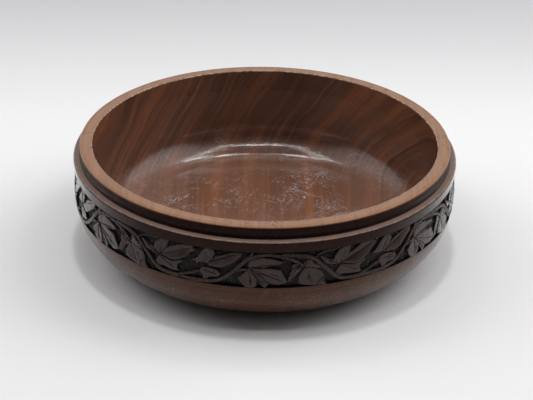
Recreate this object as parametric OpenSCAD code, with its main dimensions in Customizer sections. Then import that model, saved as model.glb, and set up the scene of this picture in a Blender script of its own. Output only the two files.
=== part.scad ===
// Turned and carved wooden bowl, in millimetres.
// The foot's centre is the origin, +Z is up and the lathe axis is Z.
// The real bowl is one block of wood. Each node below is a region of that block,
// named for the way it is worked, and neighbouring regions meet face to face.

/* [Bowl] */
// Radius at the ledge, the widest turned edge
side_r = 150; // [146:1:156]
// Height from the foot to the top of the rim
bowl_h = 88; // [84:1:96]
// Radius of the flat foot
foot_r = 102; // [98:1:106]
// Thickness of the floor
floor_t = 13; // [9:1:16]
// Radius of the hollow at the rim
hollow_rim_r = 135; // [133:0.5:136]
// Radius of the hollow where its wall meets the inner cove
hollow_wall_r = 134; // [131:0.5:135]
// Radius of the cove between the hollow's wall and its floor
cove_r = 26; // [18:1:28]

/* [Rim] */
// Width of the flat rim
rim_w = 9.8; // [8:0.2:10.6]
// Height of the rim above the ledge
rim_h = 9.5; // [8:0.5:11]
// Depth of the shallow cove cut into the rim's outer face
rim_cove_depth = 1; // [0.4:0.1:1.4]
// Radius of the rounded turned edges
edge_r = 1.2; // [0.6:0.1:1.6]
// How far the shoulder leans in below the ledge
shoulder_lean = 0.6; // [0:0.1:1]

/* [Frieze] */
// Height of the frieze's lower edge above the foot
frieze_z = 41.8; // [40:0.2:44]
// Height of the frieze
frieze_h = 28.5; // [26:0.5:29]
// Radius of the leaf tops at the frieze's fullest height
relief_r = 151; // [150:0.5:152]
// Depth of the sunk ground below the leaf tops
relief_depth = 2.8; // [2:0.1:3.4]
// Radius of the upright curve that the frieze bulges along
bulge_r = 110; // [90:5:150]

/* [Carving] */
// Number of times the vine rises and falls round the bowl
bays = 7; // [6:1:8]
// Direction of the first crest of the vine, in degrees round from +X
crest_angle = 271; // [240:1:300]
// Width of the winding stem
stem_w = 2.6; // [2:0.1:3.4]
// Width of the leaf stalks
stalk_w = 1.8; // [1.2:0.1:2.4]

/* [Hidden] */

// Facets of the full turns and of the small arcs in the turned outlines
turn_fn = 360;
arc_fn = 96;

// The belly is a quarter-round from the foot up to the side
belly_r = side_r - foot_r;
// Top of the hollow's cove, where the wall starts
cove_top_z = floor_t + cove_r;
floor_r = hollow_wall_r - cove_r;
// The base ends where the floor is still flat, just inside the cove
base_r = floor_r - 1.5;
ledge_z = bowl_h - rim_h;
rim_r = hollow_rim_r + rim_w;
frieze_top_z = frieze_z + frieze_h;
// Height at which the frieze is fullest, a little below its middle
bulge_z = frieze_z + 0.36 * frieze_h;
// Back of the ring that carries the frieze
backing_r = relief_r - 9;
// Circle whose shallow arc hollows the rim's outer face
rim_cove_r = (pow(rim_h - edge_r, 2) / 4 + pow(rim_cove_depth, 2)) / (2 * rim_cove_depth);
// Height of a turned outline's clipping square, past the rim
over = 10;

bay_pitch = 360 / bays;
// The layout below is drawn for seven bays and is stretched to other counts
pitch_scale = bay_pitch / (360 / 7);
mm_per_degree = relief_r * PI / 180;

// Radius of the hollow's wall at a height above its cove
function wall_r(z) =
    hollow_wall_r + (hollow_rim_r - hollow_wall_r) * (z - cove_top_z) / (bowl_h - cove_top_z);

// Outlines of the turned regions, drawn in the plane of radius and height

module hollow_outline() {
    translate([0, floor_t]) square([floor_r, bowl_h]);
    intersection() {
        translate([floor_r, cove_top_z]) circle(r = cove_r, $fn = arc_fn);
        translate([floor_r - 1, floor_t - 1]) square([cove_r + 2, cove_r + 1]);
    }
    polygon([
        [floor_r - 1, cove_top_z],
        [hollow_wall_r, cove_top_z],
        [wall_r(bowl_h + over), bowl_h + over],
        [floor_r - 1, bowl_h + over]
    ]);
}

module belly_outline() {
    intersection() {
        union() {
            square([foot_r, belly_r]);
            translate([foot_r, belly_r]) circle(r = belly_r, $fn = arc_fn * 2);
        }
        square([side_r + over, frieze_z]);
    }
}

module moulding_outline() {
    difference() {
        union() {
            polygon([
                [floor_r, frieze_top_z],
                [side_r - shoulder_lean, frieze_top_z],
                [side_r, ledge_z - edge_r],
                [side_r - edge_r, ledge_z],
                [rim_r, ledge_z],
                [rim_r, bowl_h - edge_r],
                [rim_r - edge_r, bowl_h],
                [floor_r, bowl_h]
            ]);
            translate([side_r - edge_r, ledge_z - edge_r]) circle(r = edge_r, $fn = arc_fn / 2);
            translate([rim_r - edge_r, bowl_h - edge_r]) circle(r = edge_r, $fn = arc_fn / 2);
        }
        translate([rim_r - rim_cove_depth + rim_cove_r, ledge_z + (rim_h - edge_r) / 2])
            intersection() {
                circle(r = rim_cove_r, $fn = arc_fn * 2);
                square([rim_cove_r * 4, rim_h - edge_r], center = true);
            }
        hollow_outline();
    }
}

// The frieze's swelling outline, from the lathe axis out to a depth below the leaf tops
module bulge_outline(depth) {
    intersection() {
        translate([relief_r - bulge_r, bulge_z]) circle(r = bulge_r - depth, $fn = arc_fn * 8);
        translate([backing_r, frieze_z]) square([over * 2, frieze_h]);
    }
}

module body_outline() {
    difference() {
        union() {
            belly_outline();
            translate([0, frieze_z]) square([backing_r, frieze_h]);
        }
        hollow_outline();
    }
}

// Turned regions

module base() {
    color("#5a3a2b")
        rotate_extrude($fn = turn_fn)
            intersection() {
                body_outline();
                square([base_r, cove_top_z]);
            }
}

module wall() {
    color("#4a2e22")
        rotate_extrude($fn = turn_fn)
            intersection() {
                body_outline();
                translate([base_r, 0]) square([side_r, bowl_h]);
            }
}

module rim_moulding() {
    color("#7d5844")
        rotate_extrude($fn = turn_fn) moulding_outline();
}

module frieze_ground() {
    color("#15100e")
        rotate_extrude($fn = turn_fn) bulge_outline(relief_depth);
}

// The layer between the sunk ground and the leaf tops, which the carving stands in
module relief_layer() {
    rotate_extrude($fn = turn_fn)
        difference() {
            bulge_outline(0);
            bulge_outline(relief_depth);
        }
}

// Carved layout: x runs round the frieze in millimetres and y is the height above the foot

// Stands a flat outline up against the frieze at an angle from a crest
module on_frieze(degrees) {
    rotate([0, 0, crest_angle + degrees * pitch_scale])
        translate([relief_r - 18, 0, 0])
            rotate([90, 0, 90]) linear_extrude(24) children();
}

module each_bay() {
    for (bay = [0 : bays - 1]) rotate([0, 0, bay * bay_pitch]) children();
}

// One lobe of a leaf: a pointed blade that is widest a little before its middle
module lobe(length, half_width) {
    widest = 0.42 * length;
    polygon([[0, 0], [widest, half_width], [length, 0], [widest, -half_width]]);
}

// A leaf whose lobes [direction, length, half width] spread from one heart
module leaf(lobes, height) {
    translate([0, height]) {
        rotate(lobes[0][0]) circle(r = 2.4, $fn = 6);
        for (l = lobes) rotate(l[0]) lobe(l[1], l[2]);
    }
}

// Hangs under the arch, its widest lobe pointing down
module arch_leaf() {
    leaf([[-86, 15.5, 5.6], [-54, 19, 2.8], [-22, 27, 5.6], [14, 20, 3.6]], 57.5);
}

// Closes the arch, hanging from the falling stem
module drop_leaf() {
    leaf([[84, 6, 3], [180, 10, 2.2], [-135, 18, 4.4], [-82, 16, 5.6], [-54, 20, 4.2]], 58.5);
}

// The three leaves that rise out of the swag, from left to right
module first_swag_leaf() {
    leaf([[160, 8, 2], [59, 15, 3.8], [23, 30, 4.8], [-30, 18, 4.4], [-97, 9, 2.8]], 56.5);
}

module second_swag_leaf() {
    leaf([[172, 6, 2], [58, 14.5, 3.8], [21, 29, 4.4]], 58);
}

module third_swag_leaf() {
    leaf([[-8, 12, 3.6], [-78, 10, 2]], 52);
}

module every_arch_leaf() {
    each_bay() on_frieze(-4.5) arch_leaf();
}

module every_drop_leaf() {
    each_bay() on_frieze(10.5) drop_leaf();
}

module every_swag_leaf() {
    each_bay() {
        on_frieze(20.3) first_swag_leaf();
        on_frieze(32.6) second_swag_leaf();
        on_frieze(33.8) third_swag_leaf();
    }
}

// Stems: each is a list of [degrees from the crest, height above the foot]
swag_stem = [[11, 68], [12.5, 64.5], [15.5, 57], [18.5, 49], [21.5, 44.6], [26, 43.6],
             [32, 43.6], [36.5, 44.8], [39.5, 49.5], [43, 57.5], [46, 64], [48.5, 69.5]];
arch_stem = [[-8.6, 58], [-6.4, 63], [-3, 66.3], [1, 67], [4.5, 65.2], [7.4, 62.2], [9.6, 59.5]];
arch_stalk = [[-11.2, 51.5], [-9.6, 55], [-7.6, 57.6], [-4.5, 57.5]];
swag_stalk = [[23.6, 44.4], [26.4, 47], [29.6, 50.2], [33.8, 52.6]];
tip_stalk = [[13.8, 63.4], [15.4, 66.6], [18.4, 68.6], [21.2, 70]];

// Point on a smooth curve through four points, between the middle two
function between(a, b, c, d, t) =
    b + 0.5 * t * (c - a + t * (2 * a - 5 * b + 4 * c - d + t * (3 * (b - c) + d - a)));

// A list's point, or its end point past either end
function held(points, i) = points[max(0, min(len(points) - 1, i))];

// The same route with an extra point in the middle of each step
function smoothed(points) = [
    for (i = [0 : len(points) - 2]) each [
        points[i],
        between(held(points, i - 1), points[i], points[i + 1], held(points, i + 2), 0.5)
    ],
    points[len(points) - 1]
];

// Degrees and height to flat millimetres, measured from a stem's own middle angle
function flat(p, middle) = [relief_r * sin((p[0] - middle) * pitch_scale), p[1]];

// Unit vector square to the route at a point
function across(points, i) =
    let (step = held(points, i + 1) - held(points, i - 1))
    [-step[1], step[0]] / norm(step);

// Half width of a stem at a point, narrowing to its two ends
function half_at(points, i, width) =
    width / 2 * (i == 0 || i == len(points) - 1 ? 0.5 : 1);

module stem(route, width) {
    middle = (route[0][0] + route[len(route) - 1][0]) / 2;
    line = [for (p = smoothed(route)) flat(p, middle)];
    count = len(line);
    on_frieze(middle)
        polygon([
            for (i = [0 : count - 1]) line[i] + across(line, i) * half_at(line, i, width),
            for (i = [count - 1 : -1 : 0]) line[i] - across(line, i) * half_at(line, i, width)
        ]);
}

module every_stem() {
    each_bay() {
        stem(swag_stem, stem_w);
        stem(arch_stem, stem_w);
        stem(arch_stalk, stalk_w);
        stem(swag_stalk, stalk_w);
        stem(tip_stalk, stalk_w);
    }
}

// Carved regions

module vine() {
    color("#3a2d29")
        difference() {
            intersection() {
                relief_layer();
                every_stem();
            }
            every_arch_leaf();
            every_drop_leaf();
            every_swag_leaf();
        }
}

module arch_leaves() {
    color("#4a3b36")
        intersection() {
            relief_layer();
            every_arch_leaf();
        }
}

module drop_leaves() {
    color("#43352f")
        intersection() {
            relief_layer();
            every_drop_leaf();
        }
}

module swag_leaves() {
    color("#4f4039")
        intersection() {
            relief_layer();
            every_swag_leaf();
        }
}

base();
wall();
rim_moulding();
frieze_ground();
vine();
arch_leaves();
drop_leaves();
swag_leaves();
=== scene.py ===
# Turned and carved wooden bowl. The CAD gives the place of every region, and this script gives
# each one its finished surface. Shapes are worked out in millimetres and stored in metres.

from math import ceil, cos, hypot, pi, radians, sin, sqrt

import bpy
import numpy as np
from mathutils import Matrix, Vector


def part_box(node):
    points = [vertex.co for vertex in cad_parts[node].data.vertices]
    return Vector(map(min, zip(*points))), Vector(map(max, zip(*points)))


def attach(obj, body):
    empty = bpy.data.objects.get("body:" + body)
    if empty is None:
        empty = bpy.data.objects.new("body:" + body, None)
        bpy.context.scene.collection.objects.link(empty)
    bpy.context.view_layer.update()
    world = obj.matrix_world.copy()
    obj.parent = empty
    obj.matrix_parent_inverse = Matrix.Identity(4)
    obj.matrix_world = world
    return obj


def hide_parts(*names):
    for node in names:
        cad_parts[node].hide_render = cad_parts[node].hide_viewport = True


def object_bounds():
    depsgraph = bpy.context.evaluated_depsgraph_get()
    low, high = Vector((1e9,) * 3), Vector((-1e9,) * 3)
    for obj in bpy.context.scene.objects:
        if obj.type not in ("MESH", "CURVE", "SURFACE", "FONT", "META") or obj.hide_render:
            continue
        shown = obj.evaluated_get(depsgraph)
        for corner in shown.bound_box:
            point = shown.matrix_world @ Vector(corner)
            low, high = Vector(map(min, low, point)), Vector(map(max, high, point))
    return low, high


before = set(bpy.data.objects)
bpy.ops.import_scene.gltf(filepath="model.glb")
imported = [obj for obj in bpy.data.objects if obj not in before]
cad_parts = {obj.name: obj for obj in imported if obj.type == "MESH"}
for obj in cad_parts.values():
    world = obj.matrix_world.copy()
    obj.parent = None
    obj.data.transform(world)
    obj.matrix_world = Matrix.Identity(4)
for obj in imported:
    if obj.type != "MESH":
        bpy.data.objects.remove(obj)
CAD_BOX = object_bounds()

MM = 0.001


def span(node):
    """A node's lowest and highest corners in millimetres."""
    return [[v / MM for v in corner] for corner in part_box(node)]


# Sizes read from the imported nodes
BASE_R, FLOOR_Z = span("base")[1][0], span("base")[1][2]
SIDE_R, RIM_Z = span("rim_moulding")[1][0], span("rim_moulding")[1][2]
BAND_LOW, BAND_HIGH = span("frieze_ground")[0][2], span("frieze_ground")[1][2]
GROUND_R = span("frieze_ground")[1][0]
LEAF_CLEARANCE = 0.12
RELIEF_R = CAD_BOX[1][0] / MM - LEAF_CLEARANCE

# Turned outline: the belly is one arc from the flat foot up to the side
FOOT_R = 102.0
BELLY_R = SIDE_R - FOOT_R
BASE_EDGE_Z = BELLY_R - sqrt(BELLY_R**2 - (BASE_R - FOOT_R) ** 2)
COVE_R = 26.0
WALL_R = 134.0
HOLLOW_RIM_R = 135.0
COVE_TOP_Z = FLOOR_Z + COVE_R
COVE_MID_R = WALL_R - COVE_R
RIM_R = 144.8
LEDGE_Z = 78.5
EDGE_R = 1.2
SHOULDER_LEAN = 0.6
BACKING_R = 142.0
BULGE_R = 110.0
BAND_TALL = BAND_HIGH - BAND_LOW
BULGE_Z = BAND_LOW + 0.36 * BAND_TALL
RELIEF_DEPTH = RELIEF_R - GROUND_R

# Steps round the bowl for each turned piece
BASE_STEPS, WALL_STEPS, RIM_STEPS, GROUND_STEPS = 360, 480, 1080, 1260

# Carved layout: equal bays, the first with its vine's crest at the front
BAYS = 7
CREST = radians(271)
BAY_PITCH = 2 * pi / BAYS
# Flat millimetres in one degree round the frieze
DEGREE = RELIEF_R * pi / 180

# The block's growth layers run front to back and lean over to the right going up.
# Two of them stand out, this far to the right of the bowl's middle in mm.
LAYER_TILT = radians(28)
DARK_LAYER = 80.0
WARM_LAYER = 72.0


# ---------------------------------------------------------------- meshes


def solid(name, verts, faces, material, crease=35):
    """A closed piece in place of the CAD node of the same name."""
    mesh = bpy.data.meshes.new(name + "_mesh")
    mesh.from_pydata((np.asarray(verts) * MM).tolist(), [], faces)
    mesh.validate()
    mesh.shade_smooth()
    mesh.set_sharp_from_angle(angle=radians(crease))
    piece = bpy.data.objects.new(name + "_finish", mesh)
    bpy.context.collection.objects.link(piece)
    mesh.materials.append(material)
    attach(piece, "root")
    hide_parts(name)
    return piece


def arc(centre, radius, start, end, count):
    """Points on an arc in the plane of radius and height, angles in degrees."""
    return [
        (centre[0] + radius * cos(radians(a)), centre[1] + radius * sin(radians(a)))
        for a in np.linspace(start, end, count)
    ]


def line(start, end, count):
    """Evenly spaced points from start up to, but not including, end."""
    return [
        (start[0] + (end[0] - start[0]) * i / count, start[1] + (end[1] - start[1]) * i / count)
        for i in range(count)
    ]


def lathe(outline, turns, moved=None):
    """Vertices and faces of a closed outline turned round Z; ends on the axis become poles."""
    on_axis = [i for i, p in enumerate(outline) if p[0] < 1e-6]
    ring = [i for i in range(len(outline)) if i not in on_axis]
    r = np.array([outline[i][0] for i in ring])[None, :]
    z = np.array([outline[i][1] for i in ring])[None, :]
    a = (np.arange(turns) * 2 * pi / turns)[:, None]
    r, z, a = np.broadcast_arrays(r, z, a)
    if moved:
        dr, dz = moved(a, r, z)
        r, z = r + dr, z + dz
    verts = np.stack([r * np.cos(a), r * np.sin(a), z], -1).reshape(-1, 3)
    wide = len(ring)
    steps = np.arange(wide - 1 if on_axis else wide)
    here = (np.arange(turns) * wide)[:, None]
    there = (((np.arange(turns) + 1) % turns) * wide)[:, None]
    low, high = steps[None, :], ((steps + 1) % wide)[None, :]
    quads = np.stack([here + low, there + low, there + high, here + high], -1).reshape(-1, 4)
    faces = quads.tolist()
    if on_axis:
        poles = [[0, 0, outline[i][1]] for i in on_axis]
        first_pole = len(verts)
        verts = np.vstack([verts, poles])
        for k in range(turns):
            m = (k + 1) % turns
            faces.append([first_pole, m * wide, k * wide])
            faces.append([first_pole + 1, k * wide + wide - 1, m * wide + wide - 1])
    return verts, faces


def wander(angles, knots, seed):
    """Smooth random values in -1..1 round the bowl, the same each run."""
    values = np.random.default_rng(seed).uniform(-1, 1, knots)
    place = (angles / (2 * pi) % 1) * knots
    i = np.floor(place).astype(int)
    t = place - i
    t = t * t * (3 - 2 * t)
    return values[i % knots] * (1 - t) + values[(i + 1) % knots] * t


def wall_r(z):
    """Radius of the hollow's wall at a height above the cove."""
    return WALL_R + (HOLLOW_RIM_R - WALL_R) * (z - COVE_TOP_Z) / (RIM_Z - COVE_TOP_Z)


def bulge_r(z, depth):
    """Radius of the frieze at a height, at a depth below the leaf tops."""
    return RELIEF_R - BULGE_R + np.sqrt((BULGE_R - depth) ** 2 - (z - BULGE_Z) ** 2)


# ---------------------------------------------------------------- turned pieces


def belly_angle(z):
    """Direction in degrees, from the belly's centre, of its surface at a height."""
    return np.degrees(np.arcsin((z - BELLY_R) / BELLY_R))


def base(material):
    """The hollow's floor and the flat foot under it."""
    floor = line((0, FLOOR_Z), (BASE_R, FLOOR_Z), 44)
    side = line((BASE_R, FLOOR_Z), (BASE_R, BASE_EDGE_Z), 4)
    roll = arc((FOOT_R, BELLY_R), BELLY_R, belly_angle(BASE_EDGE_Z), -90, 5)[:-1]
    foot = line((FOOT_R, 0), (0, 0), 40) + [(0, 0)]
    outline = floor + side + roll + foot
    verts, faces = lathe(outline[::-1], BASE_STEPS)
    return solid("base", verts, faces, material)


def wall(material):
    """The cove, the hollow's wall and the belly outside it."""
    cove = [(BASE_R, FLOOR_Z)] + arc((COVE_MID_R, COVE_TOP_Z), COVE_R, -90, 0, 40)
    inner = line((WALL_R, COVE_TOP_Z), (wall_r(BAND_HIGH), BAND_HIGH), 20)[1:]
    back = [(wall_r(BAND_HIGH), BAND_HIGH), (BACKING_R, BAND_HIGH)]
    seat = [(BACKING_R, BAND_LOW)]
    belly = arc((FOOT_R, BELLY_R), BELLY_R, belly_angle(BAND_LOW), belly_angle(BASE_EDGE_Z), 44)
    outline = cove + inner + back + seat + belly
    verts, faces = lathe(outline[::-1], WALL_STEPS)
    return solid("wall", verts, faces, material)


def rim_outline():
    """Closed outline of the rim, the cove under it, the ledge and the shoulder."""
    inner_edge = 0.5
    cove_depth = 1.0
    groove_half, groove_depth = 0.35, 0.3
    top_edge = RIM_Z - EDGE_R
    cove_low = LEDGE_Z + 0.5
    half = (top_edge - cove_low) / 2
    cove_r = (half**2 + cove_depth**2) / (2 * cove_depth)
    sweep = np.degrees(np.arcsin(half / cove_r))
    cove_mid = (RIM_R - cove_depth + cove_r, (top_edge + cove_low) / 2)
    points = line((wall_r(BAND_HIGH), BAND_HIGH), (HOLLOW_RIM_R, RIM_Z - inner_edge), 12)
    points += arc((HOLLOW_RIM_R + inner_edge, RIM_Z - inner_edge), inner_edge, 180, 90, 5)
    points += line((HOLLOW_RIM_R + 1.2, RIM_Z), (RIM_R - EDGE_R, RIM_Z), 8)
    points += arc((RIM_R - EDGE_R, top_edge), EDGE_R, 90, 0, 9)
    points += arc(cove_mid, cove_r, 180 - sweep, 180 + sweep, 15)[1:]
    points += [(RIM_R - groove_half, LEDGE_Z + 0.1)]
    points += [(RIM_R - groove_half, LEDGE_Z - groove_depth), (RIM_R + groove_half, LEDGE_Z)]
    points += line((RIM_R + 1, LEDGE_Z), (SIDE_R - EDGE_R, LEDGE_Z), 4)
    points += arc((SIDE_R - EDGE_R, LEDGE_Z - EDGE_R), EDGE_R, 90, 0, 9)
    points += line((SIDE_R, LEDGE_Z - EDGE_R), (SIDE_R - SHOULDER_LEAN, BAND_HIGH), 8)[1:]
    points += [(SIDE_R - SHOULDER_LEAN, BAND_HIGH), (BACKING_R, BAND_HIGH)]
    return points


def chipped(a, r, z):
    """Small chips out of the hollow's upper edge and knocks along the ledge's edge."""
    bites = np.clip(wander(a, 420, 5) - 0.55, 0, 1) * np.clip(wander(a, 17, 6) + 0.15, 0, 1)
    on_edge = np.exp(-(((r - HOLLOW_RIM_R) ** 2 + (z - RIM_Z) ** 2) / 0.5))
    knocks = np.clip(wander(a, 300, 7) - 0.6, 0, 1) * np.clip(wander(a, 13, 8), 0, 1)
    on_ledge = np.exp(-(((r - SIDE_R) ** 2 + (z - LEDGE_Z) ** 2) / 0.9))
    dr = bites * on_edge * 1.5 - knocks * on_ledge * 0.7
    dz = -bites * on_edge * 1.5 - knocks * on_ledge * 0.7
    return dr, dz


def rim_moulding(material):
    verts, faces = lathe(rim_outline(), RIM_STEPS, chipped)
    return solid("rim_moulding", verts, faces, material)


def facets(rows, columns, seed):
    """A sheet of random heights joined by flat facets, repeating round the bowl."""
    return np.random.default_rng(seed).uniform(-1, 1, (rows, columns))


def sampled(sheet, row, column):
    """Heights of a facet sheet at fractional rows and columns."""
    rows, columns = sheet.shape
    i = np.clip(np.floor(row).astype(int), 0, rows - 2)
    j = np.floor(column).astype(int)
    u, v = np.clip(row - i, 0, 1), column - j
    near, far = j % columns, (j + 1) % columns
    lower = u + v < 1
    first = sheet[i, near] + u * (sheet[i + 1, near] - sheet[i, near]) + v * (
        sheet[i, far] - sheet[i, near]
    )
    second = sheet[i + 1, far] + (1 - u) * (sheet[i + 1, near] - sheet[i + 1, far]) + (1 - v) * (
        sheet[i, far] - sheet[i + 1, far]
    )
    return np.where(lower, first, second)


def chiselled(a, r, z):
    """Gouge cuts all over the frieze's sunk ground."""
    coarse_rows, coarse_round = 18, 560
    fine_rows, fine_round = 34, 1100
    slant = 6
    coarse = facets(coarse_rows, coarse_round, 21)
    fine = facets(fine_rows, fine_round, 22)
    up = (z - BAND_LOW) / BAND_TALL
    turn = a / (2 * pi)
    cuts = 0.34 * sampled(coarse, up * (coarse_rows - 1), turn * coarse_round + up * slant)
    cuts = cuts + 0.14 * sampled(fine, up * (fine_rows - 1), turn * fine_round)
    border = np.clip(1 - (z - BAND_LOW) / 1.6, 0, 1) + np.clip(1 - (BAND_HIGH - z) / 1.2, 0, 1)
    face = (r > BACKING_R + 1) & (z > BAND_LOW + 0.01) & (z < BAND_HIGH - 0.01)
    return np.where(face, cuts + 0.1 - 1.2 * border, 0), np.zeros_like(z)


def frieze_ground(material):
    """The sunk ring that the carving stands on."""
    heights = np.linspace(BAND_LOW, BAND_HIGH, 37)
    face = [(float(bulge_r(z, RELIEF_DEPTH)), float(z)) for z in heights]
    outline = [(BACKING_R, BAND_HIGH), (BACKING_R, BAND_LOW)] + face
    verts, faces = lathe(outline, GROUND_STEPS, chiselled)
    return solid("frieze_ground", verts, faces, material, 25)


# ---------------------------------------------------------------- carved pieces

# Grid that the carving is cut on: columns round the frieze, rows up it
COLUMNS = BAYS * 276
ROWS = 60
ACROSS = 2 * pi * RELIEF_R / COLUMNS
GRID_Z = np.linspace(BAND_LOW, BAND_HIGH, ROWS)
# Clear space at the frieze's borders, and between one carved shape and the next
MARGIN = 0.12
CUT_GAP = 0.34
# Distances for grid places that no shape is near
OUTSIDE, FAR_OFF = -9.0, 99.0

# A lobe: where its fold ends, how far it leans and is scooped in mm, and its outline.
# A leaf: its node, its heart, and its lobes.
# Places are degrees round from the crest and mm above the foot.
LEAVES = (
    ("arch_leaves", (-4.8, 57.3), (
        ((-4.1, 42.0), 0.15, 0.35,
         ((-4.8, 57.6), (-7.8, 49.4), (-6.8, 45.2), (-5.7, 42.0), (-3.7, 41.9), (-2.7, 43.5), (-2.6, 49.2))),
        ((0.0, 43.0), 0.35, 0.2,
         ((-4.0, 55.0), (-2.5, 49.0), (-1.4, 44.2), (-0.4, 42.0), (0.6, 45.4), (-1.2, 51.0))),
        ((5.2, 47.0), -0.3, 0.5,
         ((-4.6, 57.4), (-2.0, 57.2), (0.0, 57.9), (3.8, 56.8), (5.7, 46.4), (3.3, 44.3), (0.9, 45.9),
          (-1.5, 50.6))),
        ((4.0, 62.2), 0.4, 0.7,
         ((-4.9, 57.9), (-4.9, 62.3), (-3.4, 64.9), (-1.2, 66.0), (1.2, 65.3), (4.5, 63.0), (3.7, 61.2),
          (1.4, 60.0), (-1.0, 58.3))))),
    ("drop_leaves", (10.3, 58.2), (
        ((11.7, 63.8), 0.2, 0.3,
         ((10.1, 58.0), (10.0, 60.8), (11.6, 64.3), (13.1, 60.6), (15.6, 56.0), (12.6, 56.5))),
        ((7.0, 59.4), -0.2, 0.3,
         ((10.2, 58.6), (8.6, 60.5), (7.0, 60.5), (6.8, 58.0), (8.6, 56.9))),
        ((6.1, 47.2), -0.3, 0.4,
         ((10.0, 57.4), (7.2, 57.4), (6.2, 52.5), (5.8, 46.6), (6.9, 48.2), (8.4, 52.6))),
        ((13.0, 42.8), 0.2, 0.55,
         ((10.3, 57.4), (8.8, 50.8), (8.7, 45.0), (10.5, 43.4), (13.2, 42.2), (13.8, 41.9), (15.3, 46.0),
          (15.9, 50.0), (15.0, 54.0), (12.8, 57.2))),
        ((16.6, 42.2), 0.3, 0.2,
         ((13.5, 47.0), (14.0, 42.4), (16.8, 41.9), (15.8, 45.6), (15.7, 49.0))))),
    ("swag_leaves", (20.4, 56.6), (
        ((22.1, 69.6), -0.15, 0.35,
         ((20.2, 56.6), (18.7, 60.8), (19.0, 64.4), (20.3, 68.4), (21.3, 70.1), (23.6, 70.1),
          (23.2, 65.5), (22.6, 62.6))),
        ((31.0, 68.8), 0.7, 1.1,
         ((21.0, 57.2), (22.3, 62.4), (24.5, 65.0), (26.5, 68.8), (28.0, 69.8), (30.8, 70.0),
          (31.9, 67.9), (30.2, 64.3), (29.2, 61.0), (26.4, 56.4), (24.5, 55.2), (22.5, 56.0))),
        ((26.2, 49.0), -0.2, 0.35,
         ((20.6, 56.0), (22.3, 55.4), (24.4, 54.2), (26.3, 55.9), (28.2, 58.2), (27.9, 56.0), (26.4, 53.3),
          (26.4, 50.4), (27.0, 47.3), (24.3, 47.2), (21.2, 48.4), (20.6, 46.6), (19.4, 46.4), (19.2, 50.2))),
        ((14.7, 65.0), 0.2, 0.3,
         ((20.1, 56.2), (18.0, 57.8), (16.6, 58.6), (15.2, 63.0), (14.6, 66.0), (15.6, 64.4), (17.2, 61.6),
          (18.7, 61.0))))),
    ("swag_leaves", (33.8, 57.8), (
        ((35.6, 69.2), -0.2, 0.4,
         ((33.8, 57.8), (30.4, 58.5), (32.1, 62.1), (33.4, 66.6), (34.9, 70.1), (36.6, 70.1), (37.1, 66.5),
          (36.1, 61.5), (34.9, 58.3))),
        ((44.0, 69.0), 0.6, 0.9,
         ((35.0, 57.8), (36.5, 61.4), (37.6, 64.2), (39.6, 66.6), (42.4, 69.3), (44.8, 69.9),
          (44.3, 66.0), (42.0, 61.6), (40.4, 58.2), (38.5, 56.2), (35.6, 56.6))))),
    ("swag_leaves", (34.0, 52.8), (
        ((38.4, 50.6), 0.2, 0.45,
         ((32.6, 51.6), (33.6, 54.4), (35.5, 55.0), (38.2, 54.2), (39.0, 51.0), (38.0, 48.3), (35.5, 47.2),
          (34.8, 44.9), (34.0, 44.9), (33.6, 48.2))),)),
)

# A stem: its width and its points
MAIN_STEMS = (
    (2.8, ((4.4, 68.4), (8.0, 67.4), (11.0, 66.0), (13.3, 63.2), (15.5, 57.6), (17.4, 52.6), (19.0, 48.2),
           (21, 45.0), (24, 43.9), (28, 43.6), (32.4, 43.3), (36.5, 44.4), (39.2, 47.6), (41.8, 53.0),
           (44, 59.0), (46, 64.4), (47.6, 69.0))),
    (2.5, ((-6.9, 61.2), (-5.3, 64.2), (-3.3, 66.7), (-1.2, 67.9), (0.9, 68.1), (3.1, 67.4), (5.3, 65.9),
           (7.4, 63.6), (9.0, 61.2), (10.0, 59.0))),
)
STALKS = (
    (2.0, ((-11.6, 46.8), (-10.5, 50.5), (-8.6, 54.8), (-4.8, 57.2))),
    (1.8, ((25.6, 44.4), (28.4, 46.4), (31, 49.2), (33.6, 51.8))),
    (1.5, ((13.6, 65.0), (14.8, 67.4), (17.2, 68.9), (20.6, 69.6))),
)


def smooth_route(points, count=6):
    """Points of a smooth curve through the given ones, in flat millimetres."""
    p = np.array([(d * DEGREE, z) for d, z in points])
    p = np.vstack([2 * p[0] - p[1], p, 2 * p[-1] - p[-2]])
    route = []
    for i in range(1, len(p) - 2):
        a, b, c, d = p[i - 1 : i + 3]
        for t in np.arange(count) / count:
            route.append(
                b + 0.5 * t * (c - a + t * (2 * a - 5 * b + 4 * c - d + t * (3 * (b - c) + d - a)))
            )
    route.append(p[-2])
    return np.array(route)


def within(x, y, outline):
    """Signed distance inside a closed outline of straight cuts, in flat millimetres."""
    best = np.full(x.shape, FAR_OFF)
    crossings = np.zeros(x.shape, int)
    for (ax, ay), (bx, by) in zip(outline, np.roll(outline, -1, 0)):
        dx, dy = bx - ax, by - ay
        t = np.clip(((x - ax) * dx + (y - ay) * dy) / (dx * dx + dy * dy), 0, 1)
        best = np.minimum(best, np.hypot(x - ax - t * dx, y - ay - t * dy))
        spans = (ay > y) != (by > y)
        crossings += spans & (x < ax + (y - ay) * dx / (dy or 1))
    return np.where(crossings % 2, best, -best)


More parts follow.
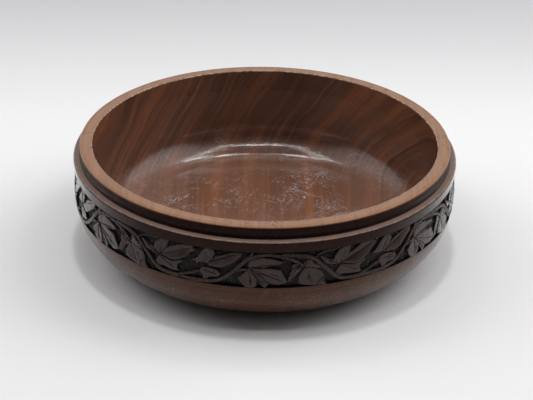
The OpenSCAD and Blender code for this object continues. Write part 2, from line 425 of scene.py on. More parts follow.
def lobe_field(x, y, heart, lobe, nicks):
    """Signed distance inside a lobe, and its cut depth: two faces leaning to a fold."""
    tip, lean, scoop, outline = lobe
    run = tip - heart
    length = hypot(*run)
    c, s = run / length
    along, side = (x - heart[0]) * c + (y - heart[1]) * s, (y - heart[1]) * c - (x - heart[0]) * s
    edges = (outline[:, 1] - heart[1]) * c - (outline[:, 0] - heart[0]) * s
    half = np.where(side > 0, max(edges.max(), 1.0), max(-edges.min(), 1.0))
    part = np.clip(side / half, -1, 1)
    t = np.clip(along / length, 0, 1)
    vein = 0.5 * np.exp(-((side / 0.34) ** 2)) * (t < 0.86) * (t > 0.04)
    ends = np.sin(pi * np.clip(0.15 + 0.75 * t, 0, 1))
    sunk = 0.2 + 0.9 * (1 - t)
    depth = sunk + lean * part * ends + scoop * (1 - np.abs(part)) ** 1.4 * ends + vein
    for at, off, size in nicks:
        ex, ey = (along - at * length) / size, (side - off * half) / (0.3 * size)
        depth = depth + 0.7 * np.exp(-(ex**2) - ey**2)
    return within(x, y, outline), depth


class Relief:
    """Fields over the unrolled frieze: which carved node stands where, and how deep it is cut."""

    def __init__(self):
        self.inside = {}
        self.depth = {}
        shape = (ROWS, COLUMNS)
        self.taken = np.full(shape, OUTSIDE)
        for node in ("arch_leaves", "drop_leaves", "swag_leaves", "vine"):
            self.inside[node] = np.full(shape, OUTSIDE)
            self.depth[node] = np.zeros(shape)

    def window(self, low, high):
        """Grid columns between two distances round the frieze, and the flat grid over them."""
        first = int(low // ACROSS)
        columns = np.arange(first, int(ceil(high / ACROSS)) + 1)
        x, y = np.meshgrid(columns * ACROSS, GRID_Z)
        return columns % COLUMNS, x, y

    def place(self, node, columns, inside, depth):
        """Adds a carved shape, cut clear of those placed before it in other shapes."""
        inside = np.minimum(inside, -self.taken[:, columns] - CUT_GAP)
        old = self.inside[node][:, columns]
        wins = inside > old
        self.inside[node][:, columns] = np.where(wins, inside, old)
        self.depth[node][:, columns] = np.where(wins, depth, self.depth[node][:, columns])
        self.taken[:, columns] = np.maximum(self.taken[:, columns], inside)

    def leaf(self, node, heart, lobes, rng):
        """Cuts a leaf lobe by lobe, with a seam where two lobes meet."""
        reach = 34.0
        columns, x, y = self.window(heart[0] - reach, heart[0] + reach)
        inside = np.full(x.shape, OUTSIDE)
        depth = np.zeros(x.shape)
        for lobe in lobes:
            nicks = [
                (rng.uniform(0.25, 0.8), rng.uniform(-0.7, 0.7), rng.uniform(0.8, 1.7))
                for _ in range(rng.integers(1, 4))
            ]
            one, cut = lobe_field(x, y, heart, lobe, nicks)
            seam = 0.8 * np.exp(-(((one - inside) / 0.5) ** 2)) * (np.minimum(one, inside) > 0)
            depth = np.where(one > inside, cut, depth) + seam
            inside = np.maximum(inside, one)
        self.place(node, columns, inside, depth)

    def stem(self, start, route, width):
        """Cuts a stem of round section along a route, ticked across by the knife."""
        points = route + [start, 0]
        columns, x, y = self.window(points[:, 0].min() - 4, points[:, 0].max() + 4)
        best = np.full(x.shape, FAR_OFF)
        run = np.zeros(x.shape)
        gone = 0.0
        for (ax, ay), (bx, by) in zip(points[:-1], points[1:]):
            dx, dy = bx - ax, by - ay
            size = hypot(dx, dy)
            t = np.clip(((x - ax) * dx + (y - ay) * dy) / size**2, 0, 1)
            far = np.hypot(x - ax - t * dx, y - ay - t * dy)
            run = np.where(far < best, gone + t * size, run)
            best = np.minimum(best, far)
            gone += size
        ends = np.clip(np.minimum(run, gone - run) / 6, 0.45, 1)
        tick = 0.25 * np.exp(-((((run / 3.1) % 1 - 0.5) / 0.09) ** 2))
        groove = 0.4 * np.exp(-((best / 0.3) ** 2)) * (width > 2.2)
        depth = 0.35 + 0.45 * (best / (width / 2)) ** 2 + tick + groove
        self.place("vine", columns, width / 2 * ends - best, depth)


def flat(place, start):
    """Flat millimetres of a place given in degrees from a bay's crest and mm of height."""
    return np.array([start + place[0] * DEGREE, place[1]])


def varied(lobes, start, rng, amount):
    """The lobes of a leaf in flat millimetres, with the small differences of handwork."""
    made = []
    for tip, lean, scoop, outline in lobes:
        points = np.array([flat(p, start) for p in outline])
        points += amount * rng.uniform(-0.55, 0.55, points.shape)
        made.append((
            flat(tip, start), lean + amount * rng.uniform(-0.15, 0.15),
            scoop * (1 + amount * rng.uniform(-0.35, 0.35)), points,
        ))
    return made


def carve():
    """The whole frieze: the vine first, then each bay's leaves and stalks over it."""
    relief = Relief()
    rng = np.random.default_rng(11)
    starts = [bay * BAY_PITCH * RELIEF_R for bay in range(BAYS)]
    for start in starts:
        for width, points in MAIN_STEMS:
            relief.stem(start, smooth_route(points), width)
    for bay, start in enumerate(starts):
        amount = 0.0 if bay == 0 else 1.0
        for node, heart, lobes in LEAVES:
            relief.leaf(node, flat(heart, start), varied(lobes, start, rng, amount), rng)
        for width, points in STALKS:
            relief.stem(start, smooth_route(points), width)
    return relief


def on_frieze(x, z, depth):
    """Flat frieze distances to a place on the bowl, cut a depth below the leaf tops."""
    r = bulge_r(z, depth)
    a = CREST + x / RELIEF_R
    return np.stack([r * np.cos(a), r * np.sin(a), z], -1)


def trimmed(inside, depth):
    """A node's fields kept off the frieze's borders, with its upper edges rounded over."""
    border = np.minimum(GRID_Z - BAND_LOW, BAND_HIGH - GRID_Z)[:, None] - MARGIN
    field = np.minimum(inside, border)
    field = np.where(np.abs(field) < 1e-4, 1e-4, field)
    bevel = 0.45 * np.clip(1 - field / 0.7, 0, 1) ** 2
    return field, np.clip(depth + bevel, 0.03, RELIEF_DEPTH - 0.3)


class Corners:
    """Corners of a carved shape's top: grid places inside it, and where its edge cuts the grid."""

    def __init__(self, field, depth):
        standing = field > 0
        row, column = np.nonzero(standing)
        self.x, self.z, self.depth = [column * ACROSS], [GRID_Z[row]], [depth[standing]]
        self.count = int(standing.sum())
        self.index = np.full(field.shape, -1)
        self.index[standing] = np.arange(self.count)

    def cross(self, first, second):
        """Adds a corner on each grid edge whose ends differ; returns the corners' numbers."""
        (fa, xa, za, da), (fb, xb, zb, db) = first, second
        cut = (fa > 0) != (fb > 0)
        t = np.where(cut, fa / np.where(cut, fa - fb, 1), 0)
        numbers = np.full(cut.shape, -1)
        numbers[cut] = self.count + np.arange(cut.sum())
        self.count += int(cut.sum())
        self.x.append((xa + t * (xb - xa))[cut])
        self.z.append((za + t * (zb - za))[cut])
        self.depth.append(np.where(fa > 0, da, db)[cut])
        return numbers


def tiles(corner, level, upright):
    """Faces of a shape's top: whole grid squares, and squares that its edge cuts across."""
    right = np.roll(corner, -1, 1)
    upright_right = np.roll(upright, -1, 1)
    squares = np.stack([corner[:-1], right[:-1], right[1:], corner[1:]], -1)
    whole = (squares >= 0).all(-1)
    some = (squares >= 0).any(-1)
    faces = squares[whole].tolist()
    for r, c in zip(*np.nonzero(some & ~whole)):
        walk = (
            corner[r, c], level[r, c], right[r, c], upright_right[r, c],
            right[r + 1, c], level[r + 1, c], corner[r + 1, c], upright[r, c],
        )
        faces.append([int(v) for v in walk if v >= 0])
    return faces


def closed(tops, count):
    """Top faces, the same faces below them, and a side under each edge that has one face."""
    faces = tops + [[v + count for v in reversed(face)] for face in tops]
    directed = set()
    for face in tops:
        directed.update(zip(face, face[1:] + face[:1]))
    for a, b in directed:
        if (b, a) not in directed:
            faces.append([b, a, a + count, b + count])
    return faces


def cut_out(inside, depth):
    """Turns one node's fields into a closed mesh, with upright sides down into the ground."""
    root = 0.7
    field, depth = trimmed(inside, depth)
    corners = Corners(field, depth)
    here = (
        field, np.broadcast_to(np.arange(COLUMNS) * ACROSS, field.shape),
        np.broadcast_to(GRID_Z[:, None], field.shape), depth,
    )
    beside = (np.roll(field, -1, 1), here[1] + ACROSS, here[2], np.roll(depth, -1, 1))
    level = corners.cross(here, beside)
    upright = corners.cross([v[:-1] for v in here], [v[1:] for v in here])
    tops = tiles(corners.index, level, upright)
    x, z = np.concatenate(corners.x), np.concatenate(corners.z)
    top = on_frieze(x, z, np.concatenate(corners.depth))
    bottom = on_frieze(x, z, np.full_like(x, RELIEF_DEPTH + root))
    return np.vstack([top, bottom]), closed(tops, corners.count)


def carved_piece(relief, node, material):
    """One carved node, its surface broken into the flats that a knife leaves."""
    rows, columns, rise = 16, 700, 0.13
    row = np.linspace(0, rows - 1, ROWS)
    column = np.arange(COLUMNS) * columns / COLUMNS
    flats = sampled(facets(rows, columns, 31), *np.meshgrid(row, column, indexing="ij"))
    verts, faces = cut_out(relief.inside[node], relief.depth[node] + rise + rise * flats)
    return solid(node, verts, faces, material, 32)


# ---------------------------------------------------------------- materials


class Nodes:
    """Short calls that build one material's shader nodes."""

    def __init__(self, name):
        self.material = bpy.data.materials.new(name)
        self.material.use_nodes = True
        self.tree = self.material.node_tree
        self.shader = self.tree.nodes["Principled BSDF"]
        self.place = self.add("ShaderNodeTexCoord").outputs["Object"]

    def add(self, kind, inputs=None, **settings):
        node = self.tree.nodes.new(kind)
        for key, value in settings.items():
            setattr(node, key, value)
        for key, value in (inputs or {}).items():
            self.feed(node.inputs[key], value)
        return node

    def feed(self, socket, value):
        if isinstance(value, bpy.types.NodeSocket):
            self.tree.links.new(value, socket)
        else:
            socket.default_value = value

    def math(self, operation, a, b=0.0, clamp=False):
        node = self.add("ShaderNodeMath", {0: a, 1: b}, operation=operation, use_clamp=clamp)
        return node.outputs[0]

    def vector(self, operation, a, b):
        node = self.add("ShaderNodeVectorMath", {0: a, 1: b}, operation=operation)
        return node.outputs["Value" if operation in ("DOT_PRODUCT", "LENGTH") else "Vector"]

    def noise(self, place, scale, detail=2.0, roughness=0.5):
        """A noise node; its outputs are a value in 0..1 and a colour."""
        return self.add(
            "ShaderNodeTexNoise",
            {"Vector": place, "Scale": scale, "Detail": detail, "Roughness": roughness},
        )

    def between(self, value, low, high, first=0.0, last=1.0):
        """Eases from first to last as a value goes from low to high."""
        node = self.add(
            "ShaderNodeMapRange",
            {"Value": value, "From Min": low, "From Max": high, "To Min": first, "To Max": last},
            clamp=True, interpolation_type="SMOOTHSTEP",
        )
        return node.outputs[0]

    def mix(self, share, a, b, blend="MIX"):
        node = self.add("ShaderNodeMix", data_type="RGBA", blend_type=blend)
        self.feed(node.inputs[0], share)
        self.feed(node.inputs[6], a)
        self.feed(node.inputs[7], b)
        return node.outputs[2]

    def bump(self, height, distance, strength=1.0, normal=None):
        node = self.add(
            "ShaderNodeBump", {"Height": height, "Distance": distance, "Strength": strength}
        )
        if normal is not None:
            self.feed(node.inputs["Normal"], normal)
        return node.outputs[0]

    def finish(self, **inputs):
        names = {
            "colour": "Base Color", "roughness": "Roughness", "normal": "Normal",
            "coat": "Coat Weight", "coat_roughness": "Coat Roughness", "coat_ior": "Coat IOR",
            "coat_normal": "Coat Normal", "specular": "Specular IOR Level",
        }
        for key, value in inputs.items():
            self.feed(self.shader.inputs[names[key]], value)
        return self.material


def shade(r, g, b):
    return (r, g, b, 1.0)


BLACK_STAIN = shade(0.004, 0.003, 0.003)
WOOD_DARK = shade(0.066, 0.029, 0.019)
WOOD_MID = shade(0.132, 0.054, 0.031)
WOOD_WARM = shade(0.262, 0.092, 0.040)
GROWTH_LINE = shade(0.022, 0.01, 0.007)
# How far the warm layers show through
STRIPES = 0.8

# Places where the floor of the hollow is worn: right and back of the middle in mm, and reach
FLOOR_WEAR = (
    (32, 56, 44), (46, 80, 26), (-30, 42, 24), (-52, 62, 20), (60, 20, 30), (-70, 30, 26), (0, -60, 50),
)


def polar(n):
    """Distance from the turning axis, and height, both in metres."""
    x, y, z = n.add("ShaderNodeSeparateXYZ", {0: n.place}).outputs
    r = n.math("SQRT", n.math("ADD", n.math("MULTIPLY", x, x), n.math("MULTIPLY", y, y)))
    return r, z


def near_layer(n, across, layer, low, high):
    """1 at a growth layer, falling to 0 between two distances from it."""
    away = n.math("ABSOLUTE", n.math("SUBTRACT", across, layer * MM))
    return n.between(away, low, high, 1.0, 0.0)


def grain(n):
    """Layers of the block: bands, streaks and fibres that run front to back, and the distance
    to the right of the middle layer."""
    drift = n.noise(n.vector("MULTIPLY", n.place, (1.0, 0.5, 1.0)), 11.0, 2.0, 0.5)
    drift = n.vector("SUBTRACT", drift.outputs["Color"], (0.5, 0.5, 0.5))
    drift = n.vector("MULTIPLY", drift, (0.024, 0.0, 0.03))
    place = n.vector("ADD", n.place, drift)
    turned = n.add(
        "ShaderNodeVectorRotate", {"Vector": place, "Angle": -LAYER_TILT}, rotation_type="Y_AXIS"
    ).outputs[0]
    bands = n.noise(n.vector("MULTIPLY", turned, (60.0, 2.5, 5.0)), 1.0, 2.0, 0.5).outputs[0]
    streaks = n.noise(n.vector("MULTIPLY", turned, (330.0, 6.0, 11.0)), 1.0, 3.0, 0.65).outputs[0]
    fibres = n.noise(n.vector("MULTIPLY", turned, (1300.0, 26.0, 45.0)), 1.0, 2.0, 0.6).outputs[0]
    across = n.add("ShaderNodeSeparateXYZ", {0: turned}).outputs[0]
    return bands, streaks, fibres, across


def wood_colour(n):
    """Striped wood, and the streaks and fibres that it is striped with."""
    bands, streaks, fibres, across = grain(n)
    dark_line = near_layer(n, across, DARK_LAYER, 0.0003, 0.0016)
    warm_zone = near_layer(n, across, WARM_LAYER, 0.001, 0.008)
    colour = n.mix(n.between(bands, 0.34, 0.6), WOOD_DARK, WOOD_MID)
    colour = n.mix(n.between(bands, 0.55, 0.7, 0.0, STRIPES), colour, WOOD_WARM)
    colour = n.mix(n.between(streaks, 0.48, 0.74, 0.0, STRIPES), colour, WOOD_WARM)
    colour = n.mix(n.between(streaks, 0.46, 0.3, 0.0, 0.7), colour, WOOD_DARK)
    colour = n.mix(n.math("MULTIPLY", warm_zone, 0.4), colour, WOOD_WARM)
    colour = n.mix(n.between(fibres, 0.42, 0.7, 0.0, 0.45), colour, WOOD_DARK)
    colour = n.mix(n.math("MULTIPLY", dark_line, 0.7), colour, GROWTH_LINE)
    return colour, streaks, fibres


def specks(n, scale, share):
    """Small scattered marks of ragged shape, 1 on a mark and 0 elsewhere."""
    grainy = n.noise(n.place, scale, 3.0, 0.75).outputs[0]
    return n.between(grainy, 1 - share, 1.02 - share)


def patch(n, x, y, reach):
    """1 in the middle of a worn patch of the floor, falling to 0 at its edge."""
    middle = (x * MM, y * MM, FLOOR_Z * MM)
    away = n.vector("LENGTH", n.vector("SUBTRACT", n.place, middle), (0, 0, 0))
    return n.between(away, 0.2 * reach * MM, reach * MM, 1.0, 0.0)


def scratches(n, scale, turn, share):
    """Thin curved scratches, in patches."""
    bent = n.noise(n.place, 14.0, 2.0, 0.5).outputs["Color"]
    bent = n.vector("MULTIPLY", n.vector("SUBTRACT", bent, (0.5, 0.5, 0.5)), (0.05, 0.05, 0.05))
    turned = n.add(
        "ShaderNodeVectorRotate",
        {"Vector": n.vector("ADD", n.place, bent), "Angle": turn}, rotation_type="Z_AXIS",
    ).outputs[0]
    strands = n.noise(n.vector("MULTIPLY", turned, (1.0, 0.035, 1.0)), scale, 1.0, 0.5).outputs[0]
    away = n.math("ABSOLUTE", n.math("SUBTRACT", strands, 0.5))
    thin = n.between(away, 0.0, 0.012, 1.0, 0.0)
    cloud = n.noise(n.place, 38.0, 2.0, 0.6).outputs[0]
    return n.math("MULTIPLY", thin, n.between(cloud, 1 - share, 1.06 - share))


def outer_side(n, r, z):
    """1 on the belly and under the foot, 0 in the hollow."""
    belly_r = n.math("SUBTRACT", r, FOOT_R * MM)
    belly_z = n.math("SUBTRACT", z, BELLY_R * MM)
    r_squared = n.math("MULTIPLY", belly_r, belly_r)
    z_squared = n.math("MULTIPLY", belly_z, belly_z)
    from_centre = n.math("SQRT", n.math("ADD", r_squared, z_squared))
    outside = n.between(from_centre, (BELLY_R - 4) * MM, (BELLY_R - 2) * MM)
    above_foot = n.between(z, (FLOOR_Z - 1.5) * MM, (FLOOR_Z - 0.5) * MM)
    within_cove = n.between(r, COVE_MID_R * MM, (COVE_MID_R + 4) * MM, 1.0, 0.0)
    on_floor = n.math("MULTIPLY", above_foot, within_cove)
    return n.math("MULTIPLY", outside, n.math("SUBTRACT", 1.0, on_floor))


def glancing(n, head_on, edge_on):
    """A value for surfaces seen head on, rising to another for those seen edge on."""
    facing = n.add("ShaderNodeLayerWeight", {"Blend": 0.5}).outputs["Facing"]
    return n.between(facing, 0.3, 0.85, head_on, edge_on)


def floor_marks(n, z):
    """Scores and scuffs worn into the hollow's floor, thickest in a few places."""
    everywhere, in_places = 0.28, 0.75
    worn = 0.0
    for x, y, reach in FLOOR_WEAR:
        worn = n.math("MAXIMUM", worn, patch(n, x, y, reach))
    worn = n.math("ADD", n.math("MULTIPLY", worn, in_places), everywhere)
    scored = n.math("MAXIMUM", scratches(n, 300.0, 0.5, 0.55), scratches(n, 360.0, 1.9, 0.54))
    marks = n.math("MULTIPLY", n.math("MAXIMUM", scored, specks(n, 330.0, 0.33)), worn)
    marks = n.math("MAXIMUM", marks, n.math("MULTIPLY", specks(n, 300.0, 0.28), 0.9))
    at_floor = n.between(z, (FLOOR_Z - 3) * MM, (FLOOR_Z - 0.2) * MM)
    fading_up = n.between(z, (FLOOR_Z + 5) * MM, (FLOOR_Z + 32) * MM, 1.0, 0.0)
    return n.math("MULTIPLY", marks, n.math("MULTIPLY", at_floor, fading_up))


def turning(n, r, z, scale):
    """Fine rings left by the lathe tool."""
    rings = n.add("ShaderNodeCombineXYZ", {0: r, 1: z, 2: 0.0}).outputs[0]
    return n.noise(rings, scale, 2.0, 0.5).outputs[0]


def belly_colour(n, rings, streaks):
    """Plainer and darker than the hollow, ringed by the lathe and flecked."""
    dark, mid = shade(0.058, 0.023, 0.011), shade(0.102, 0.041, 0.019)
    colour = n.mix(n.between(rings, 0.35, 0.68), dark, mid)
    colour = n.mix(n.between(streaks, 0.56, 0.7, 0.0, 0.5), colour, shade(0.14, 0.056, 0.026))
    flecks = n.noise(n.vector("MULTIPLY", n.place, (0.5, 0.5, 1.6)), 420.0, 3.0, 0.7).outputs[0]
    return n.mix(n.between(flecks, 0.6, 0.68, 0.0, 0.6), colour, shade(0.24, 0.10, 0.045))


def under_frieze(n, z, outside):
    """1 on the outside just below the frieze, where a thin black line is painted along its lower edge."""
    above = n.between(z, (BAND_LOW - 0.9) * MM, (BAND_LOW - 0.3) * MM)
    below = n.between(z, (BAND_LOW + 1) * MM, (BAND_LOW + 2) * MM, 1.0, 0.0)
    return n.math("MULTIPLY", n.math("MULTIPLY", above, outside), below)


def lacquered_wood():
    """The hollow under clear gloss, worn at its floor and painted lighter there as a painted sheen, and the
    duller belly.
    """
    n = Nodes("lacquered_wood_finish")
    colour, streaks, fibres = wood_colour(n)
    r, z = polar(n)
    outside = outer_side(n, r, z)
    inside = n.math("SUBTRACT", 1.0, outside)
    # Painted light: the floor and the foot of the cove are painted a paler orange, a painted sheen of the
    # lamps overhead.
    floor_light_share = n.between(z, (FLOOR_Z - 0.5) * MM, (FLOOR_Z + 17) * MM, 0.35, 0.0)
    painted_floor_light = n.math("MULTIPLY", floor_light_share, inside)
    colour = n.mix(painted_floor_light, colour, shade(0.33, 0.150, 0.084))
    rings = turning(n, r, z, 900.0)
    colour = n.mix(outside, colour, belly_colour(n, rings, streaks))
    # A thin black line painted on the belly just below the frieze's lower edge.
    colour = n.mix(under_frieze(n, z, outside), colour, BLACK_STAIN)
    marks = floor_marks(n, z)
    colour = n.mix(n.math("MULTIPLY", marks, 0.8), colour, shade(0.60, 0.63, 0.66))
    relief = n.bump(fibres, 0.00012, 0.5)
    relief = n.bump(rings, 0.0001, 0.6, relief)
    relief = n.bump(n.noise(n.place, 60.0, 3.0, 0.55).outputs[0], 0.0006, 0.5, relief)
    rough = n.between(n.noise(n.place, 45.0, 3.0, 0.6).outputs[0], 0.3, 0.7, 0.3, 0.42)
    rough = n.math("ADD", rough, n.math("MULTIPLY", marks, 0.3))
    return n.finish(
        colour=colour, roughness=rough, normal=relief,
        coat=n.between(outside, 0.0, 1.0, 1.0, glancing(n, 0.08, 0.7)),
        coat_roughness=0.11, coat_ior=1.85, coat_normal=relief,
        specular=n.between(outside, 0.0, 1.0, 0.5, 0.08),
    )


def on_ledge(n, r, z):
    """1 on the ledge's upper face."""
    above = n.between(z, LEDGE_Z * MM - 0.0007, LEDGE_Z * MM - 0.0001)
    below = n.between(z, LEDGE_Z * MM + 0.0002, LEDGE_Z * MM + 0.0006, 1.0, 0.0)
    beyond_rim = n.between(r, RIM_R * MM - 0.001, RIM_R * MM)
    return n.math("MULTIPLY", n.math("MULTIPLY", above, below), beyond_rim)


def chip_marks(n, r, top):
    """Bare wood where the hollow's upper edge is chipped."""
    from_edge = n.math("ABSOLUTE", n.math("SUBTRACT", r, HOLLOW_RIM_R * MM))
    edge = n.math("MULTIPLY", n.between(from_edge, 0.0002, 0.0007, 1.0, 0.0), top)
    broken = n.noise(n.place, 240.0, 3.0, 0.6).outputs[0]
    return n.math("MULTIPLY", edge, n.between(broken, 0.5, 0.58))


def lacquered_rim():
    """Near black outside and striped inside, rubbed to tan on top, and pale along its edges where chipped
    and rubbed, with a painted highlight along the ledge's edge.
    """
    n = Nodes("lacquered_rim_finish")
    inner, streaks, fibres = wood_colour(n)
    r, z = polar(n)
    rings = turning(n, r, z, 1400.0)
    black, brown = shade(0.012, 0.005, 0.004), shade(0.027, 0.010, 0.006)
    dark = n.mix(n.between(rings, 0.35, 0.65), black, brown)
    dark = n.mix(n.between(streaks, 0.5, 0.7, 0.0, 0.5), dark, shade(0.055, 0.02, 0.011))
    outside = n.between(r, RIM_R * MM - 0.004, RIM_R * MM - 0.003)
    colour = n.mix(outside, inner, dark)
    rubbed = n.noise(n.place, 55.0, 4.0, 0.65).outputs[0]
    top = n.between(z, RIM_Z * MM - 0.0012, RIM_Z * MM - 0.0002)
    light_tan, deep_tan = shade(0.325, 0.174, 0.102), shade(0.26, 0.13, 0.073)
    tan_wood = n.mix(n.between(streaks, 0.35, 0.7), light_tan, deep_tan)
    rubbed_top = n.math("MULTIPLY", top, n.between(rubbed, 0.2, 0.5, 0.75, 1.0))
    colour = n.mix(rubbed_top, colour, tan_wood)
    ledge = on_ledge(n, r, z)
    colour = n.mix(n.math("MULTIPLY", ledge, 0.8), colour, shade(0.25, 0.172, 0.142))
    # Along the ledge's outer edge: dashes of rubbed wood that also carry a painted highlight on the rounded
    # edge.
    edge = n.math("MULTIPLY", ledge, n.between(r, (SIDE_R - 1.8) * MM, (SIDE_R - 1.1) * MM))
    knocked_and_highlit = n.between(n.noise(n.place, 210.0, 4.0, 0.75).outputs[0], 0.42, 0.62)
    colour = n.mix(n.math("MULTIPLY", edge, knocked_and_highlit), colour, shade(0.34, 0.21, 0.145))
    colour = n.mix(chip_marks(n, r, top), colour, shade(0.62, 0.47, 0.33))
    relief = n.bump(fibres, 0.0001, 0.5)
    relief = n.bump(rings, 0.00012, 0.7, relief)
    return n.finish(
        colour=colour, roughness=n.between(rubbed, 0.3, 0.7, 0.26, 0.4), normal=relief,
        coat=n.between(outside, 0.0, 1.0, 0.9, glancing(n, 0.05, 1.0)),
        coat_roughness=0.1, coat_ior=1.6, coat_normal=relief,
        specular=n.between(outside, 0.0, 1.0, 0.5, 0.05),
    )


def black_ground():
    """Black stain over gouge cuts, with painted glints: small whitish specks standing in for the lacquer's
    shine.
    """
    n = Nodes("black_ground_finish")
    stain = n.noise(n.place, 260.0, 4.0, 0.6).outputs[0]
    colour = n.mix(n.between(stain, 0.35, 0.75), BLACK_STAIN, shade(0.016, 0.012, 0.010))
    painted_glints = n.noise(n.place, 560.0, 3.0, 0.75).outputs[0]
    # Painted glints: tiny whitish specks painted in place of highlights on the lacquer in the cuts.
    colour = n.mix(n.between(painted_glints, 0.68, 0.70), colour, shade(0.80, 0.79, 0.72))
    pits = n.noise(n.place, 900.0, 4.0, 0.7).outputs[0]
    relief = n.bump(pits, 0.0004, 0.9)
    rough = n.between(stain, 0.3, 0.7, 0.2, 0.5)
    return n.finish(colour=colour, roughness=rough, normal=relief, specular=0.12)


def stained_carving():
    """Near-black leaves and stems, satin, that shine where they turn edge on."""
    n = Nodes("stained_carving_finish")
    streaks = grain(n)[1]
    stain = n.noise(n.place, 120.0, 4.0, 0.6).outputs[0]
    colour = n.mix(n.between(stain, 0.3, 0.7), shade(0.024, 0.013, 0.010), shade(0.050, 0.029, 0.022))
    colour = n.mix(n.between(streaks, 0.4, 0.75, 0.0, 0.5), colour, shade(0.052, 0.027, 0.019))
    tool = n.noise(n.place, 420.0, 3.0, 0.6).outputs[0]
    relief = n.bump(tool, 0.0002, 0.6)
    rough = n.between(stain, 0.3, 0.7, 0.3, 0.48)
    return n.finish(
        colour=colour, roughness=rough, normal=relief, coat=glancing(n, 0.12, 1.0),
        coat_roughness=0.2, coat_ior=1.7, coat_normal=relief, specular=0.2,
    )


# ---------------------------------------------------------------- studio


def floor():
    """A pale floor that reaches past every view, with painted shade darkening it toward the back."""
    n = Nodes("studio_floor_finish")
    mottle = n.noise(n.place, 3.0, 3.0, 0.5).outputs[0]
    colour = n.mix(mottle, shade(0.80, 0.80, 0.805), shade(0.83, 0.83, 0.835))
    toward_back = n.add("ShaderNodeSeparateXYZ", {0: n.place}).outputs[1]
    # Painted shade: the floor darkens toward the back, where less lamp light reaches it.
    colour = n.mix(n.between(toward_back, 0.15, 0.62), colour, shade(0.58, 0.58, 0.59))
    material = n.finish(colour=colour, roughness=0.8, specular=0.2)
    mesh = bpy.data.meshes.new("studio_floor_mesh")
    reach = 6.0
    drop = CAD_BOX[0][2] - 0.0002
    corners = [(-reach, -reach), (reach, -reach), (reach, reach), (-reach, reach)]
    mesh.from_pydata([(x, y, drop) for x, y in corners], [], [(0, 1, 2, 3)])
    mesh.materials.append(material)
    plane = bpy.data.objects.new("studio_floor", mesh)
    bpy.context.collection.objects.link(plane)


# Strength of the room's light from each side
ROOM_TOP, ROOM_BACK, ROOM_LEFT, ROOM_RIGHT = 0.05, 0.3, 0.42, 0.68


def panel(name, place, size, power, shown=True, target=None):
    """A flat light that shines straight down, or at a target; shown means it can be reflected."""
    data = bpy.data.lights.new(name, "AREA")
    data.shape = "RECTANGLE"
    data.size, data.size_y = size
    data.energy = power
    lamp = bpy.data.objects.new(name, data)
    lamp.location = place
    if target is not None:
        lamp.rotation_euler = (Vector(place) - Vector(target)).to_track_quat("Z", "Y").to_euler()
    lamp.visible_glossy = shown
    lamp.visible_camera = False
    bpy.context.collection.objects.link(lamp)


def lights():
    """A high lamp, two soft side lights, a frame of strips above the bowl, and a pale room."""
    panel("key", (0, 0, 3.0), (0.2, 0.2), 18.0, shown=False)
    soft, bowl = (1.2, 1.2), (0, 0, 0)
    panel("side_left", (-1.2, 0.3, 1.1), soft, 10.0, shown=False, target=bowl)
    panel("side_right", (1.2, 0.3, 1.1), soft, 13.5, shown=False, target=bowl)
    height, strip = 0.9, 0.032
    west, east, near, far = -0.25, 0.335, -0.335, 0.325
    mid_x, mid_y = (west + east) / 2, (near + far) / 2
    for name, radiance, place, size in (
        ("strip_near", 15.0, (mid_x, near, height), (east - west, strip)),
        ("strip_far", 15.0, (mid_x, far, height), (east - west, strip)),
        ("strip_left", 6.5, (west, mid_y, height), (strip, far - near)),
        ("strip_right", 8.0, (east, mid_y, height), (strip, far - near)),
    ):
        panel(name, place, size, radiance * pi * size[0] * size[1])
    room()


def toward(tree, where, axis, low, high, first, last):
    """A value that changes smoothly as a direction turns toward an axis."""
    dot = tree.nodes.new("ShaderNodeVectorMath")
    dot.operation = "DOT_PRODUCT"
    tree.links.new(where, dot.inputs[0])
    dot.inputs[1].default_value = Vector(axis).normalized()
    eased = tree.nodes.new("ShaderNodeMapRange")
    eased.interpolation_type = "SMOOTHSTEP"
    tree.links.new(dot.outputs["Value"], eased.inputs["Value"])
    for key, value in (("From Min", low), ("From Max", high), ("To Min", first), ("To Max", last)):
        eased.inputs[key].default_value = value
    return eased


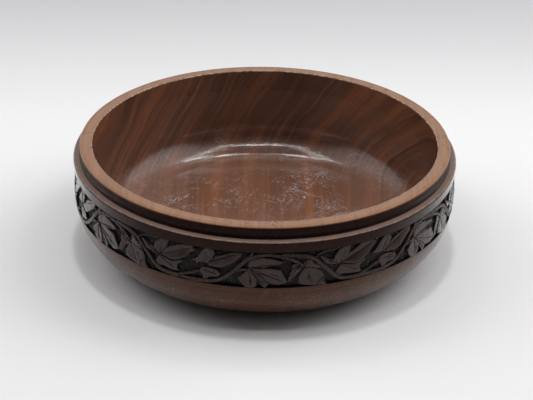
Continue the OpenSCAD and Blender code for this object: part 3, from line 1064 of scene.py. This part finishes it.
def room():
    """Light all round but from the open front; the camera sees one pale grey everywhere."""
    world = bpy.data.worlds.new("room")
    bpy.context.scene.world = world
    world.use_nodes = True
    tree = world.node_tree
    add, join = tree.nodes.new, tree.links.new
    out, lit = tree.nodes["World Output"], tree.nodes["Background"]
    lit.inputs["Color"].default_value = shade(0.98, 0.985, 1.0)
    where = add("ShaderNodeTexCoord").outputs["Generated"]
    layers = (
        toward(tree, where, (0, -1, 0.2), 0.15, 0.7, ROOM_BACK, 0.0),
        toward(tree, where, (0, 0, 1), 0.6, 0.85, 0.0, ROOM_TOP),
        toward(tree, where, (-1, 0.1, 0.7), 0.76, 0.99, 0.0, ROOM_LEFT),
        toward(tree, where, (1, 0.1, 0.7), 0.76, 0.99, 0.0, ROOM_RIGHT),
    )
    for under, over in zip(layers, layers[1:]):
        join(under.outputs[0], over.inputs["To Min"])
    join(layers[-1].outputs[0], lit.inputs["Strength"])
    seen = add("ShaderNodeBackground")
    seen.inputs["Color"].default_value = shade(0.72, 0.72, 0.73)
    path, choose = add("ShaderNodeLightPath"), add("ShaderNodeMixShader")
    join(path.outputs["Is Camera Ray"], choose.inputs[0])
    join(lit.outputs[0], choose.inputs[1])
    join(seen.outputs[0], choose.inputs[2])
    join(choose.outputs[0], out.inputs["Surface"])


def camera():
    """Stands in front of the bowl, looking down on it, aimed a little below its rim."""
    rise, distance = radians(25.57), 1.1232
    aim_down, aim_right, roll = radians(28.06), radians(0.11), radians(1.05)
    place = Vector((0, -distance * cos(rise), RIM_Z * MM + distance * sin(rise)))
    ahead = Vector((sin(aim_right) * cos(aim_down), cos(aim_right) * cos(aim_down), -sin(aim_down)))
    right = Vector((cos(aim_right), -sin(aim_right), 0))
    up = right.cross(ahead)
    tipped_right = right * cos(roll) + up * sin(roll)
    tipped_up = up * cos(roll) - right * sin(roll)
    data = bpy.data.cameras.new("view")
    data.sensor_width = 36
    data.lens = 96.48
    data.dof.use_dof = False
    view = bpy.data.objects.new("view", data)
    view.matrix_world = Matrix.Translation(place) @ Matrix(
        (tipped_right, tipped_up, -ahead)
    ).transposed().to_4x4()
    bpy.context.collection.objects.link(view)
    bpy.context.scene.camera = view


# ---------------------------------------------------------------- the scene

camera()
lights()
floor()

wood, rim, ground, carving = lacquered_wood(), lacquered_rim(), black_ground(), stained_carving()
base(wood)
wall(wood)
rim_moulding(rim)
frieze_ground(ground)
carved = carve()
for carved_node in ("vine", "arch_leaves", "drop_leaves", "swag_leaves"):
    carved_piece(carved, carved_node, carving)

bpy.context.scene.view_settings.view_transform = "Standard"
